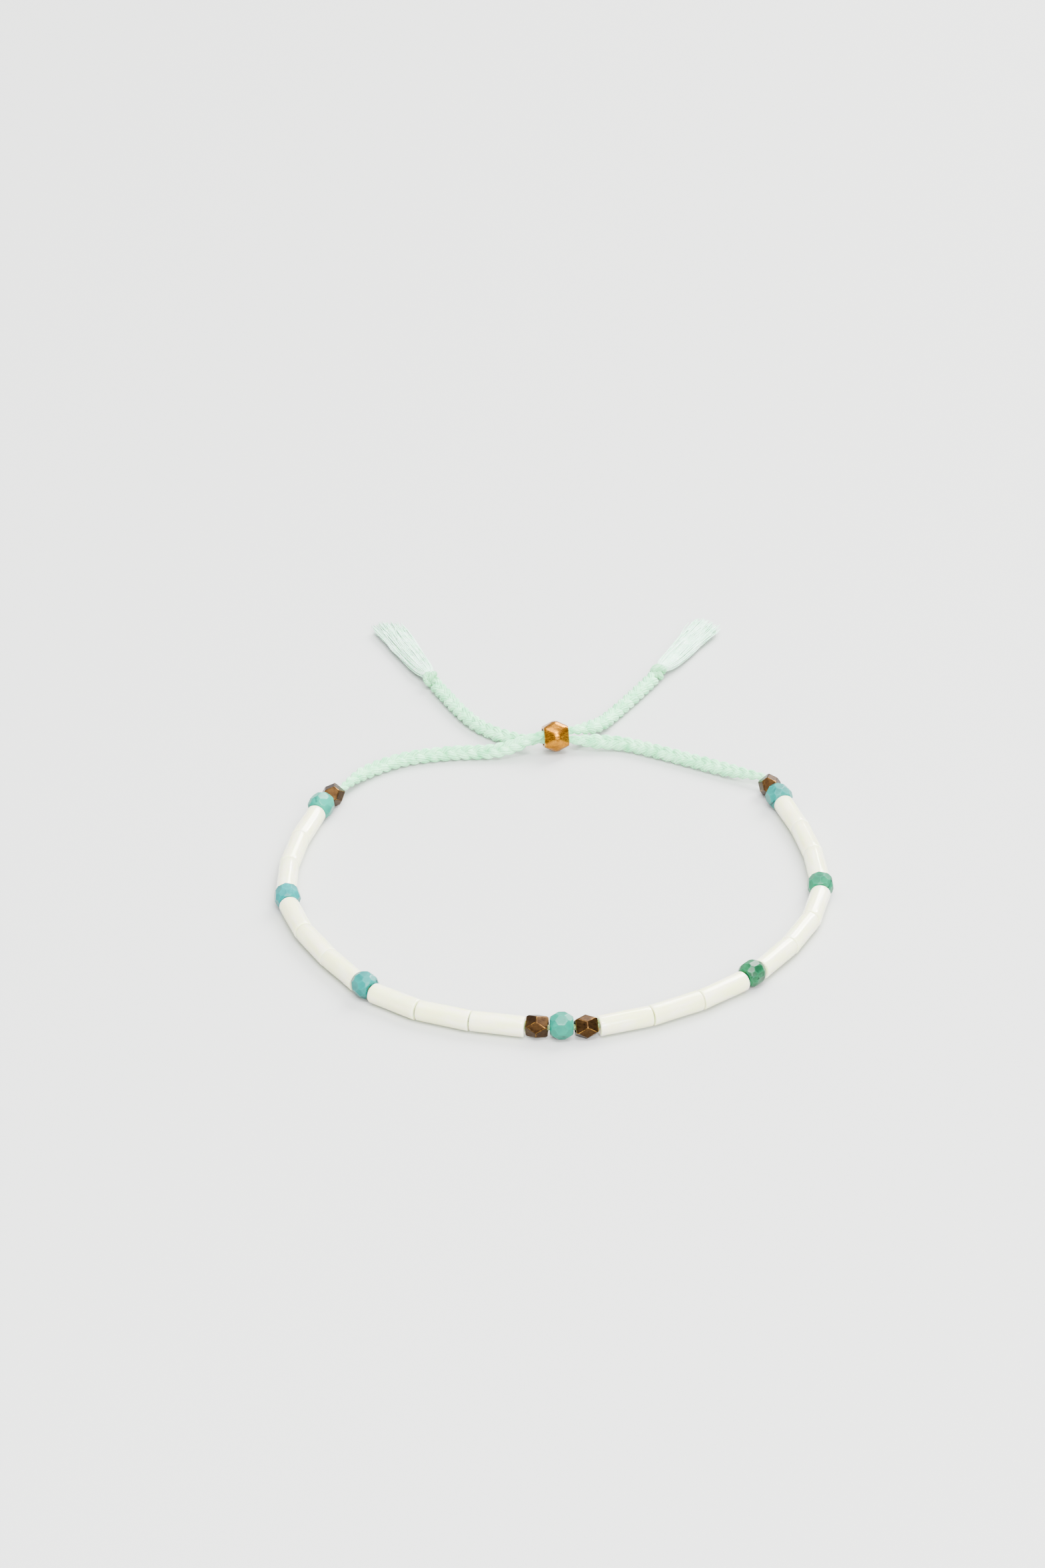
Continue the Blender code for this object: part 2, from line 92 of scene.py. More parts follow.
# The braid: three strands of plied yarn
BRAID_PERIOD = 3.2 * MM
BRAID_LEAN = math.radians(38)
STRAND_SWING = 0.37 * MM
STRAND_LIFT = 0.24 * MM
STRAND_PLIES = 8
PLY_PITCH = 7.0 * MM
PLY_OFFSET = 0.27 * MM
PLY_RADIUS = 0.125 * MM
CORE_RADIUS = 0.24 * MM
SQUEEZED = 0.49
STARTED = 0.42
GATHERED_LENGTH = 5.0 * MM
BRAID_SWELL = 2.6 * MM
BRAID_DROP = 0.09 * MM
CORD_STEP = 0.11 * MM

# The tassels: fine filaments from a narrow root to a wide tip
TASSEL_WIDTH = 3.2 * MM
TASSEL_ROOT = 0.45 * MM
FILAMENTS = 330
FILAMENT_RADIUS = 0.052 * MM

# The camera as fitted to the photo: what it looks at, how far away and how steeply
CAMERA_AIM = (-3.0, 20.1)
CAMERA_DISTANCE = 592.5
CAMERA_TILT = math.radians(29.49)
SENSOR = 36.0
PHOTO_HEIGHT = 2352
FOCAL_PIXELS = 9000

UP = np.array([0.0, 0.0, 1.0])


def srgb(red, green, blue):
    """A colour given as it looks on screen, 0 to 255, as the linear colour that shaders take."""
    parts = [c / 255 for c in (red, green, blue)]
    linear = (c / 12.92 if c <= 0.04045 else ((c + 0.055) / 1.055) ** 2.4 for c in parts)
    return (*linear, 1.0)


def add_node(tree, kind, inputs, **settings):
    """Adds a shader node. An input is a number, a colour or the socket that it is wired to."""
    made = tree.nodes.new(kind)
    for key, value in settings.items():
        setattr(made, key, value)
    for key, value in inputs.items():
        if isinstance(value, bpy.types.NodeSocket):
            tree.links.new(value, made.inputs[key])
        else:
            made.inputs[key].default_value = value
    return made


def computed(tree, operation, *values):
    made = add_node(tree, "ShaderNodeMath", dict(enumerate(values)), operation=operation)
    return made.outputs["Value"]


def new_material(name, **sockets):
    made = bpy.data.materials.new(name)
    made.use_nodes = True
    shader = made.node_tree.nodes["Principled BSDF"]
    for key, value in sockets.items():
        shader.inputs[key.replace("_", " ")].default_value = value
    return made, made.node_tree, shader


def mixed(tree, share, first, second):
    mix = add_node(tree, "ShaderNodeMix", {0: share, 6: first, 7: second}, data_type="RGBA")
    return mix.outputs[2]


def ramped(tree, value, low, high):
    """0 below low, 1 above high and a straight slope between."""
    made = add_node(tree, "ShaderNodeMapRange", {"Value": value, "From Min": low, "From Max": high})
    return made.outputs["Result"]


def noise(tree, vector, scale, detail=3.0, roughness=0.55):
    made = add_node(tree, "ShaderNodeTexNoise", {
        "Vector": vector, "Scale": scale, "Detail": detail, "Roughness": roughness})
    return made.outputs["Fac"]


def bumped(tree, shader, height, distance, strength=0.4):
    bump = add_node(tree, "ShaderNodeBump", {
        "Height": height, "Distance": distance, "Strength": strength})
    tree.links.new(bump.outputs["Normal"], shader.inputs["Normal"])


def own_place(tree, stretch=(1.0, 1.0, 1.0)):
    """The place on the bead itself, along and around its hole, which each bead keeps in 'grain'."""
    grain = add_node(tree, "ShaderNodeAttribute", {}, attribute_name="grain")
    scaled = add_node(tree, "ShaderNodeMapping", {
        "Vector": grain.outputs["Vector"], "Scale": stretch})
    return scaled.outputs["Vector"]


def glass_material():
    """Cream opal glass: soft inside, glossy outside, with faint streaks along the tube."""
    made, tree, shader = new_material(
        "cream_glass", Roughness=0.13, IOR=1.5, Subsurface_Weight=0.9, Subsurface_Scale=0.0008,
        Coat_Weight=0.6, Coat_Roughness=0.05)
    shader.inputs["Subsurface Radius"].default_value = (0.75, 1.0, 0.45)
    streaks = noise(tree, own_place(tree, (0.18, 1.0, 1.0)), 1700, 4.0)
    clouds = noise(tree, own_place(tree), 420, 2.0)
    cream = mixed(tree, ramped(tree, streaks, 0.36, 0.66), srgb(236, 252, 184), srgb(248, 255, 220))
    warm = mixed(tree, ramped(tree, clouds, 0.45, 0.75), cream, srgb(240, 251, 188))
    tree.links.new(warm, shader.inputs["Base Color"])
    bumped(tree, shader, noise(tree, own_place(tree, (0.4, 1.0, 1.0)), 900, 2.0), 0.00003, 0.35)
    return made


def stone_material(name, main, deep, pale, speck_share, vein_share, edge_highlight_share):
    """A cut blue-green stone: cloudy colour, dark specks, a painted highlight along the facet edges
    and, in some, pale and dark veins.
    """
    made, tree, shader = new_material(
        name, Roughness=0.3, IOR=1.3, Subsurface_Weight=0.05, Subsurface_Scale=0.0003,
        Coat_Weight=0.04, Coat_Roughness=0.08)
    shader.inputs["Subsurface Radius"].default_value = (0.5, 1.0, 1.0)
    place = own_place(tree)
    clouds = noise(tree, place, 620, 3.0, 0.55)
    body = mixed(tree, ramped(tree, clouds, 0.3, 0.56), deep, main)
    # Painted highlight: pale along the facet edges, as where polished edges catch the light; the
    # pale cloudy patches beside it are the stone's own tone
    edge = add_node(tree, "ShaderNodeAttribute", {}, attribute_name="edge").outputs["Fac"]
    wear_and_edge_highlight = computed(tree, "MULTIPLY", edge, edge_highlight_share)
    cloudy = ramped(tree, noise(tree, place, 1300, 3.0), 0.6, 0.9)
    lit = mixed(tree, computed(tree, "MAXIMUM", wear_and_edge_highlight, cloudy), body, pale)
    veins = add_node(tree, "ShaderNodeTexVoronoi", {
        "Vector": place, "Scale": 900.0, "Randomness": 1.0}, feature="DISTANCE_TO_EDGE")
    thin = ramped(tree, veins.outputs["Distance"], 0.09, 0.02)
    patchy = ramped(tree, noise(tree, place, 700, 2.0), 0.62 - vein_share, 0.7 - vein_share)
    vein = computed(tree, "MULTIPLY", thin, patchy)
    veined = mixed(tree, vein, lit, (*(0.35 * c for c in deep[:3]), 1.0))
    specks = ramped(tree, noise(tree, place, 3600, 2.0), 0.72 - speck_share, 0.76 - speck_share)
    tree.links.new(mixed(tree, specks, veined, srgb(38, 84, 80)), shader.inputs["Base Color"])
    bumped(tree, shader, clouds, 0.00004, 0.3)
    return made


def brass_material(name, patina, deep, wear_and_edge_highlight, wear_reach, roughness):
    """Antique brass: dark patina, rubbed golden along the edges, with fine scratches."""
    made, tree, shader = new_material(name, Metallic=1.0, Roughness=roughness)
    place = own_place(tree)
    edge = add_node(tree, "ShaderNodeAttribute", {}, attribute_name="edge").outputs["Fac"]
    patchy = noise(tree, place, 1100, 2.0)
    fine = noise(tree, place, 6500, 4.0, 0.7)
    rubbed = computed(tree, "MULTIPLY_ADD", patchy, 1.5, fine)
    wear = ramped(tree, computed(tree, "ADD", edge, rubbed), wear_reach, wear_reach + 0.45)
    mottle = ramped(tree, noise(tree, place, 2400, 5.0, 0.65), 0.36, 0.66)
    dull = mixed(tree, mottle, deep, patina)
    tree.links.new(mixed(tree, wear, dull, wear_and_edge_highlight), shader.inputs["Base Color"])
    scratches = noise(tree, own_place(tree, (0.2, 1.0, 1.0)), 6500, 4.0)
    rough = add_node(tree, "ShaderNodeMapRange", {
        "Value": scratches, "From Min": 0.3, "From Max": 0.7,
        "To Min": roughness - 0.08, "To Max": roughness + 0.12})
    tree.links.new(rough.outputs["Result"], shader.inputs["Roughness"])
    bumped(tree, shader, scratches, 0.00002, 0.3)
    return made


def yarn_material(name, light, shade, sheen, depth):
    """Soft cotton yarn: fine fibres along the ply, with a lit and a shaded tone of the yarn painted
    in and spread by fibre and patch noise.
    """
    made, tree, shader = new_material(
        name, Roughness=0.82, Subsurface_Weight=0.4, Subsurface_Scale=depth, Sheen_Weight=sheen,
        Sheen_Roughness=0.4)
    shader.inputs["Subsurface Radius"].default_value = (0.9, 1.0, 0.7)
    ply = add_node(tree, "ShaderNodeUVMap", {}, uv_map="UVMap")
    fibres = add_node(tree, "ShaderNodeMapping", {
        "Vector": ply.outputs["UV"], "Scale": (900.0, 7.0, 1.0)})
    fine = noise(tree, fibres.outputs["Vector"], 2.2, 4.0, 0.7)
    place = add_node(tree, "ShaderNodeTexCoord", {}).outputs["Object"]
    patch = noise(tree, place, 900, 3.0)
    blend = computed(tree, "ADD", fine, patch)
    # Painted light and shade: the lit and the shaded tone mixed over the yarn by noise
    color = mixed(tree, ramped(tree, blend, 0.75, 1.2), shade, light)
    tree.links.new(color, shader.inputs["Base Color"])
    bumped(tree, shader, fine, 0.00003, 0.5)
    return made


def deselect_all():
    for obj in bpy.context.selected_objects:
        obj.select_set(False)


def work_on(obj):
    deselect_all()
    obj.select_set(True)
    bpy.context.view_layer.objects.active = obj


def edit(obj, mode):
    """Edit mode on this object, in vertex, edge or face selection, with nothing selected."""
    work_on(obj)
    bpy.ops.object.mode_set(mode="EDIT")
    bpy.ops.mesh.select_mode(type=mode)
    bpy.ops.mesh.select_all(action="DESELECT")
    bpy.ops.object.mode_set(mode="OBJECT")


def select_faces(obj, wanted):
    edit(obj, "FACE")
    for face in obj.data.polygons:
        face.select = bool(wanted(face))
    bpy.ops.object.mode_set(mode="EDIT")


def select_edges(obj, wanted):
    edit(obj, "EDGE")
    points = obj.data.vertices
    for line in obj.data.edges:
        line.select = bool(wanted(*(points[k].co for k in line.vertices)))
    bpy.ops.object.mode_set(mode="EDIT")


def apply_all(obj):
    work_on(obj)
    for modifier in list(obj.modifiers):
        bpy.ops.object.modifier_apply(modifier=modifier.name)


def keep_grain(obj):
    """Stores each vertex's place on the bead, shifted at random so that no two beads match."""
    shift = rng.uniform(-0.02, 0.02, 3)
    grain = obj.data.attributes.new("grain", "FLOAT_VECTOR", "POINT")
    co = np.empty(3 * len(obj.data.vertices))
    obj.data.vertices.foreach_get("co", co)
    grain.data.foreach_set("vector", (co.reshape(-1, 3) + shift).ravel().astype(np.float32))


def put_on(obj, name, material, node, place=None):
    """Moves a finished piece's mesh to its place, dresses it and lets it stand for its solid."""
    if place is not None:
        obj.data.transform(place)
    obj.name = name
    obj.data.name = name
    obj.data.materials.clear()
    obj.data.materials.append(material)
    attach(obj, "root")
    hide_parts(node)
    return obj


def bead_place(node):
    """Middle and heading of a drilled CAD bead: most of its vertices lie on its two flat ends."""
    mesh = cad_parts[node].data
    co = np.empty(3 * len(mesh.vertices))
    mesh.vertices.foreach_get("co", co)
    co = co.reshape(-1, 3)
    middle = (co.max(0) + co.min(0)) / 2
    off = co - middle

    def on_ends(angle, depth):
        along = np.abs(off[:, 0] * math.cos(angle) + off[:, 1] * math.sin(angle))
        return np.exp(-(((along.max() - along) / depth) ** 2)).sum()

    heading = max(np.radians(np.arange(0, 180, 0.25)), key=lambda angle: on_ends(angle, 0.01 * MM))
    nearby = heading + np.radians(np.arange(-0.3, 0.3, 0.01))
    return middle, max(nearby, key=lambda angle: on_ends(angle, 0.001 * MM))


def placed(middle, heading):
    return Matrix.Translation(middle) @ Matrix.Rotation(heading, 4, "Z")


def resting(obj, middle, heading):
    """The place of a bead that touches the surface with its lowest point."""
    lowest = min((placed((0, 0, 0), heading) @ v.co).z for v in obj.data.vertices)
    return placed((middle[0], middle[1], -lowest), heading)


def unit(angle):
    return np.array([math.cos(angle), math.sin(angle)])


def copied(pattern):
    obj = pattern.copy()
    obj.data = pattern.data.copy()
    bpy.context.scene.collection.objects.link(obj)
    return obj


def glass_tube():
    """One tube along X: a cylinder with its ends inset, drilled through and melted round."""
    bpy.ops.mesh.primitive_cylinder_add(
        vertices=40, radius=TUBE_RADIUS, depth=TUBE_LENGTH, rotation=(0, math.pi / 2, 0))
    obj = bpy.context.object
    bpy.ops.object.transform_apply(location=False, rotation=True, scale=True)
    half = TUBE_LENGTH / 2
    select_faces(obj, lambda face: abs(face.normal.x) > 0.9)
    bpy.ops.mesh.inset(thickness=TUBE_RADIUS - BORE_RADIUS)
    bpy.ops.mesh.bridge_edge_loops()
    bpy.ops.object.mode_set(mode="OBJECT")

    def on_rim(a, b):
        return abs(a.x + b.x) > 1.98 * half and abs(a.yz.length - b.yz.length) < 1e-6

    select_edges(obj, lambda a, b: on_rim(a, b) and a.yz.length > 0.9 * TUBE_RADIUS)
    bpy.ops.mesh.bevel(offset=0.11 * MM, segments=4, affect="EDGES")
    bpy.ops.object.mode_set(mode="OBJECT")
    select_edges(obj, lambda a, b: on_rim(a, b) and a.yz.length < 1.1 * BORE_RADIUS)
    bpy.ops.mesh.bevel(offset=0.07 * MM, segments=3, affect="EDGES")
    for share in (-0.75, -0.5, -0.25, 0.0, 0.25, 0.5, 0.75):
        bpy.ops.mesh.select_all(action="SELECT")
        bpy.ops.mesh.bisect(plane_co=(share * half, 0, 0), plane_no=(1, 0, 0))
    bpy.ops.mesh.select_all(action="SELECT")
    bpy.ops.mesh.normals_make_consistent(inside=False)
    bpy.ops.object.mode_set(mode="OBJECT")
    obj.data.shade_smooth()
    return obj


def uneven(obj, amount, low_end, high_end):
    """Drawn and cut by hand: swells a little, and each end has its own reach and slant."""
    phases = rng.uniform(0, 2 * math.pi, 3)
    slants = rng.uniform(-1, 1, 4)
    thick = 1 - amount * 0.5 * rng.uniform(0, 1)
    half = TUBE_LENGTH / 2
    for vertex in obj.data.vertices:
        x, y, z = vertex.co
        along = x / half
        around = math.atan2(z, y)
        swell = thick + amount * 0.35 * math.sin(2.4 * along + phases[0])
        swell += amount * 0.25 * math.cos(2 * around + phases[1]) * (1 + 0.5 * along)
        slant = slants[0] * y + slants[1] * z if along > 0 else slants[2] * y + slants[3] * z
        reach, lean = high_end if along > 0 else low_end
        outward = math.copysign(reach - lean * y, along)
        cut = 0.995 * x + (slant * 0.02 + outward) * abs(along) ** 6
        vertex.co = (cut, y * swell, z * swell)


def cut_stone(sides, start):
    """A stone along X, cut from a ball facet by facet, as a cutter holds it to the wheel."""
    bpy.ops.mesh.primitive_uv_sphere_add(segments=32, ring_count=18, radius=1.15 * STONE_RADIUS)
    obj = bpy.context.object
    work_on(obj)
    bpy.ops.object.mode_set(mode="EDIT")
    cuts = [(math.radians(90), 0.0, STONE_LENGTH / 2), (math.radians(-90), 0.0, STONE_LENGTH / 2)]
    for tilt, share, reach in FACET_ROWS:
        for k in range(sides):
            wobble = rng.normal(0, FACET_JITTER, 3)
            around = start + (k + share) * 2 * math.pi / sides + wobble[1]
            reached = reach * STONE_RADIUS * (1 + 0.25 * wobble[2])
            cuts.append((math.radians(tilt) + wobble[0], around, reached))
    for tilt, around, reach in cuts:
        flat = math.cos(tilt)
        way = Vector((math.sin(tilt), flat * math.cos(around), flat * math.sin(around)))
        bpy.ops.mesh.select_all(action="SELECT")
        bpy.ops.mesh.bisect(plane_co=way * reach, plane_no=way, use_fill=True, clear_outer=True,
                            threshold=0.000002)
    bpy.ops.object.mode_set(mode="OBJECT")
    return obj


def drilled(obj, radius, length):
    """Drills a bead along X with a round bit, which is thrown away."""
    deselect_all()
    bpy.ops.mesh.primitive_cylinder_add(
        vertices=24, radius=radius, depth=2 * length, rotation=(0, math.pi / 2, 0))
    bit = bpy.context.object
    hole = obj.modifiers.new("hole", "BOOLEAN")
    hole.operation = "DIFFERENCE"
    hole.object = bit
    apply_all(obj)
    bpy.data.objects.remove(bit, do_unlink=True)


def eased(obj, width, segments, angle):
    """Takes the sharpness off the edges with a narrow bevel."""
    bevel = obj.modifiers.new("ease", "BEVEL")
    bevel.width = width
    bevel.segments = segments
    bevel.limit_method = "ANGLE"
    bevel.angle_limit = math.radians(angle)
    apply_all(obj)


def creases(mesh, angle):
    """Start and end of every edge where two flats meet at more than the angle."""
    normals = {}
    for face in mesh.polygons:
        for key in face.edge_keys:
            normals.setdefault(key, []).append(face.normal)
    found = []
    for key, pair in normals.items():
        if len(pair) == 2 and pair[0].angle(pair[1]) > angle:
            found.append([mesh.vertices[k].co[:] for k in key])
    return np.array(found)


def keep_edges(obj, lines, width):
    """Stores how near each vertex is to the given edges, from 1 on them to 0: the edges where brass
    wears first, and the facet edges of a stone, which get a painted highlight.
    """
    co = np.array([v.co[:] for v in obj.data.vertices])
    near = np.full(len(co), 1.0)
    for start, end in lines:
        reach = end - start
        share = np.clip((co - start) @ reach / (reach @ reach), 0, 1)
        near = np.minimum(near, np.linalg.norm(co - start - share[:, None] * reach, axis=1))
    edge = obj.data.attributes.new("edge", "FLOAT", "POINT")
    edge.data.foreach_set("value", np.exp(-((near / width) ** 2)).astype(np.float32))


def divided(obj, cuts):
    """Divides every face so that wear can be stored finely on its vertices."""
    edit(obj, "FACE")
    bpy.ops.object.mode_set(mode="EDIT")
    bpy.ops.mesh.select_all(action="SELECT")
    bpy.ops.mesh.quads_convert_to_tris(quad_method="BEAUTY", ngon_method="BEAUTY")
    bpy.ops.mesh.subdivide(number_cuts=cuts)
    bpy.ops.object.mode_set(mode="OBJECT")


def cast_bead(node, bore, ease, wear_width):
    """A brass bead from its CAD solid: flats found again, outer edges rounded and marked where they
    wear.
    """
    obj = copied(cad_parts[node])
    obj.hide_render = False
    obj.hide_viewport = False
    middle, heading = bead_place(node)
    obj.data.transform(placed(middle, heading).inverted())
    edit(obj, "VERT")
    bpy.ops.object.mode_set(mode="EDIT")
    bpy.ops.mesh.select_all(action="SELECT")
    bpy.ops.mesh.remove_doubles(threshold=0.000002)
    bpy.ops.mesh.dissolve_limited(angle_limit=math.radians(3))
    bpy.ops.object.mode_set(mode="OBJECT")
    lines = creases(obj.data, math.radians(12))
    outer = lines[np.hypot(lines[:, :, 1], lines[:, :, 2]).min(axis=1) > 1.15 * bore]
    flat = max(v.co.x for v in obj.data.vertices) - 0.01 * MM

    def outside(a, b):
        return min(a.yz.length, b.yz.length) > 1.05 * bore

    select_edges(obj, lambda a, b: outside(a, b) and abs(a.x + b.x) < 2 * flat)
    bpy.ops.mesh.bevel(offset=ease, segments=5, affect="EDGES", clamp_overlap=True)
    bpy.ops.object.mode_set(mode="OBJECT")
    select_edges(obj, lambda a, b: outside(a, b) and abs(a.x + b.x) > 2 * flat)
    bpy.ops.mesh.bevel(offset=0.4 * ease, segments=3, affect="EDGES", clamp_overlap=True)
    bpy.ops.object.mode_set(mode="OBJECT")
    divided(obj, 5)
    work_on(obj)
    bpy.ops.object.shade_smooth_by_angle(angle=math.radians(20))
    keep_edges(obj, outer, wear_width)
    keep_grain(obj)
    return obj, placed(middle, heading)


def frames(path):
    """Unit tangents of a path and a pair of normals carried along it without twist."""
    path = np.asarray(path)
    ways = np.gradient(path, axis=0)
    ways /= np.linalg.norm(ways, axis=1)[:, None]
    seed = np.array([0.0, 0.0, 1.0]) if abs(ways[0, 2]) < 0.9 else np.array([0.0, 1.0, 0.0])
    ups = np.empty_like(path)
    for k, way in enumerate(ways):
        seed = seed - way * (seed @ way)
        seed = seed / np.linalg.norm(seed)
        ups[k] = seed
    return ways, np.cross(ways, ups), ups


def swept(path, radii, sides):
    """Vertices and faces of a closed round tube along a path."""
    path = np.asarray(path)
    radii = np.broadcast_to(radii, len(path))
    _, sideways, ups = frames(path)
    angles = 2 * np.pi * np.arange(sides) / sides
    ring = np.cos(angles)[None, :, None] * sideways[:, None]
    ring = ring + np.sin(angles)[None, :, None] * ups[:, None]
    verts = (path[:, None] + ring * radii[:, None, None]).reshape(-1, 3)
    count = len(path)
    rows = np.arange(count - 1)[:, None] * sides
    k = np.arange(sides)[None, :]
    after = (k + 1) % sides
    quads = np.stack([rows + k, rows + after, rows + sides + after, rows + sides + k], axis=-1)
    faces = [list(q) for q in quads.reshape(-1, 4)]
    faces.append(list(range(sides))[::-1])
    faces.append([(count - 1) * sides + n for n in range(sides)])
    return verts, faces


def distance_along(path):
    steps = np.linalg.norm(np.diff(path, axis=0), axis=1)
    return np.concatenate([[0], np.cumsum(steps)])


def tube_mesh(name, tubes, sides):
    """One mesh of many round tubes, with a UV map that runs along and around each."""
    all_verts, all_faces, along_all, around_all = [], [], [], []
    base = 0
    for path, radii in tubes:
        verts, faces = swept(path, radii, sides)
        all_verts.append(verts)
        all_faces += [[n + base for n in face] for face in faces]
        along_all.append(np.repeat(distance_along(path) + rng.uniform(0, 0.1), sides))
        around_all.append(np.tile(np.arange(sides) / sides, len(path)))
        base += len(verts)
    mesh = bpy.data.meshes.new(name)
    mesh.from_pydata(np.vstack(all_verts), [], all_faces)
    along = np.concatenate(along_all)
    around = np.concatenate(around_all)
    layer = mesh.uv_layers.new(name="UVMap")
    corners = np.empty(len(mesh.loops), np.int32)
    mesh.loops.foreach_get("vertex_index", corners)
    places = np.stack([along[corners], around[corners]], axis=1)
    layer.data.foreach_set("uv", places.ravel().astype(np.float32))
    mesh.shade_smooth()
    obj = bpy.data.objects.new(name, mesh)
    bpy.context.scene.collection.objects.link(obj)
    work_on(obj)
    bpy.ops.object.mode_set(mode="EDIT")
    bpy.ops.mesh.select_all(action="SELECT")
    bpy.ops.mesh.normals_make_consistent(inside=False)
    bpy.ops.object.mode_set(mode="OBJECT")
    return obj


def smooth_through(points, step):
    """Points about one step apart on a smooth curve through the given ones."""
    p = np.array(points, float)
    p = np.vstack([2 * p[0] - p[1], p, 2 * p[-1] - p[-2]])
    t = np.linspace(0, 1, 40, endpoint=False)[:, None]
    pieces = []
    for a, b, c, d in zip(p[:-3], p[1:-2], p[2:-1], p[3:]):
        pieces.append(0.5 * (2 * b + (c - a) * t + (2 * a - 5 * b + 4 * c - d) * t**2
                             + (3 * b - a - 3 * c + d) * t**3))
    fine = np.vstack(pieces + [p[-2:-1]])
    along = distance_along(fine)
    wanted = np.linspace(0, along[-1], max(2, round(along[-1] / step) + 1))
    return np.stack([np.interp(wanted, along, fine[:, k]) for k in range(p.shape[1])], axis=1)


def plied(path, plies, offset, radius, pitch, scale=1.0):
    """Paths and radii of the plies that wind round a path."""
    along = distance_along(path)
    _, sideways, ups = frames(path)
    scale = np.broadcast_to(scale, len(path))
    tubes = []
    for k in range(plies):
        turn = 2 * np.pi * (along / pitch + k / plies)
        off = sideways * np.cos(turn)[:, None] + ups * np.sin(turn)[:, None]
        tubes.append((path + off * (offset * scale)[:, None], radius * scale))
    return tubes


def braided(path, spread, start):
    """The plies of three strands that pass over each other, flat side leaning to the front."""
    along = distance_along(path)
    ways = np.gradient(path, axis=0)
    ways /= np.linalg.norm(ways, axis=1)[:, None]
    across = np.cross(np.array([0.0, -math.sin(BRAID_LEAN), math.cos(BRAID_LEAN)]), ways)
    across /= np.linalg.norm(across, axis=1)[:, None]
    ups = np.cross(ways, across)
    tubes = []
    for strand in range(3):
        phase = 2 * np.pi * (along / BRAID_PERIOD + strand / 3) + start
        swing = STRAND_SWING * spread * np.sin(phase)
        lift = STRAND_LIFT * spread * np.sin(2 * phase)
        line = path + across * swing[:, None] + ups * lift[:, None]
        tubes += plied(line, STRAND_PLIES, PLY_OFFSET, PLY_RADIUS, PLY_PITCH, spread)
        tubes.append((line, CORE_RADIUS * spread))
    return tubes


def slider_mouths(side):
    """Where a braid enters and leaves the sliding bead: side 1 is the upper braid, -1 the lower."""
    way = np.array([*unit(SLIDER_HEADING), 0.0])
    across = np.array([-way[1], way[0], 0.0])
    middle = np.array([*SLIDER_PLACE, SLIDER_MIDDLE + side * CROSSING_HEIGHT])
    reach = way * (SLIDER_LENGTH / 2 + SLIDER_PLAY) + across * side * SLIDER_CROSSING
    return [tuple(middle - reach), tuple(middle + reach)]


def cord_route(node, loop, tail, mouths):
    """The braid's route from its end bead through the sliding bead to its knot."""
    middle, heading = bead_place(node)
    way = np.array([*unit(heading), 0.0])
    way *= np.sign(way[1])
    start = np.array([middle[0], middle[1], THREAD_HEIGHT]) + way * (BRASS_LENGTH / 2 + CORD_START)
    points = [tuple(start), tuple(start + way * CORD_LEAD)]
    points += [(x * MM, y * MM, BRAID_REST + lift * MM) for x, y, lift in loop]
    points += mouths
    points += [(x * MM, y * MM, BRAID_REST + lift * MM) for x, y, lift in tail]
    return smooth_through(points, CORD_STEP)


def cord_spread(points):
    """Full width in the open, squeezed in the sliding bead and gathered at the end bead."""
    along = distance_along(points)
    way = unit(SLIDER_HEADING)
    off = points[:, :2] - SLIDER_PLACE
    beyond = np.abs(off @ way) - SLIDER_LENGTH / 2 - SLIDER_PLAY
    beyond[np.abs(off @ np.array([-way[1], way[0]])) > 2 * SLIDER_BORE] = BRAID_SWELL
    squeezed = SQUEEZED + (1 - SQUEEZED) * np.clip(beyond / BRAID_SWELL, 0, 1)
    gathered = STARTED + (1 - STARTED) * np.clip(along / GATHERED_LENGTH, 0, 1)
    return np.minimum(squeezed, gathered)


def knot(name, place, way, material):
    """A small tight knot: the cord wound over itself, twice round its own run."""
    turn = np.linspace(0, 2 * np.pi, 91)
    ring = 0.40 * MM + 0.19 * MM * np.cos(3 * turn)
    ahead = np.array([way[0], way[1], 0.0])
    side = np.array([-way[1], way[0], 0.0])
    wound = place + (0.42 * MM * np.sin(3 * turn))[:, None] * ahead
    wound = wound + (ring * np.cos(2 * turn))[:, None] * side
    wound = wound + (ring * np.sin(2 * turn))[:, None] * UP
    core = np.linspace(-1, 1, 13)[:, None] * ahead * KNOT_LENGTH * 0.55 + place
    tubes = plied(wound, 5, 0.17 * MM, 0.15 * MM, 1.6 * MM)
    tubes += plied(core, 4, 0.2 * MM, 0.2 * MM, 1.6 * MM)
    obj = tube_mesh(name, tubes, 7)
    return put_on(obj, "tied_" + name, material, name)


def tassel(name, place, way, length, material):
    """Brushed-out thread: fine filaments that leave the knot, spread flat and end unevenly."""
    ahead = np.array([way[0], way[1], 0.0])
    side = np.array([-way[1], way[0], 0.0])
    tubes = []
    share = np.linspace(0, 1, 20)
    fan = 0.55 * (1 - (1 - share) ** 10) + 0.45 * share
    for _ in range(FILAMENTS):
        around = rng.uniform(0, 2 * np.pi)
        out = math.sqrt(rng.uniform(0, 1))
        wide = out * math.cos(around)
        high = out * math.sin(around)
        reach = length * (1 - 0.16 * rng.uniform() ** 2) * (0.97 + 0.03 * math.cos(around))
        across = wide * (TASSEL_ROOT + (TASSEL_WIDTH / 2 - TASSEL_ROOT) * fan)
        bend = rng.normal(0, 0.09, 2) * MM
        across = across + bend[0] * np.sin(share * rng.uniform(4, 9) + around) * share * 2
        height = KNOT_RADIUS * (1 - 0.38 * fan)
        height = height + high * (0.42 * MM + 0.2 * MM * fan) * (1 - 0.12 * fan)
        height = height + bend[1] * np.cos(share * rng.uniform(4, 9)) * share
        height = np.maximum(height, 0.06 * MM)
        path = np.array([place[0], place[1], 0.0]) + (share * reach)[:, None] * ahead
        path = path + across[:, None] * side + height[:, None] * UP
        tubes.append((path, FILAMENT_RADIUS * np.where(share > 0.96, 0.7, 1.0)))
    obj = tube_mesh(name, tubes, 4)
    return put_on(obj, "brushed_" + name, material, name)


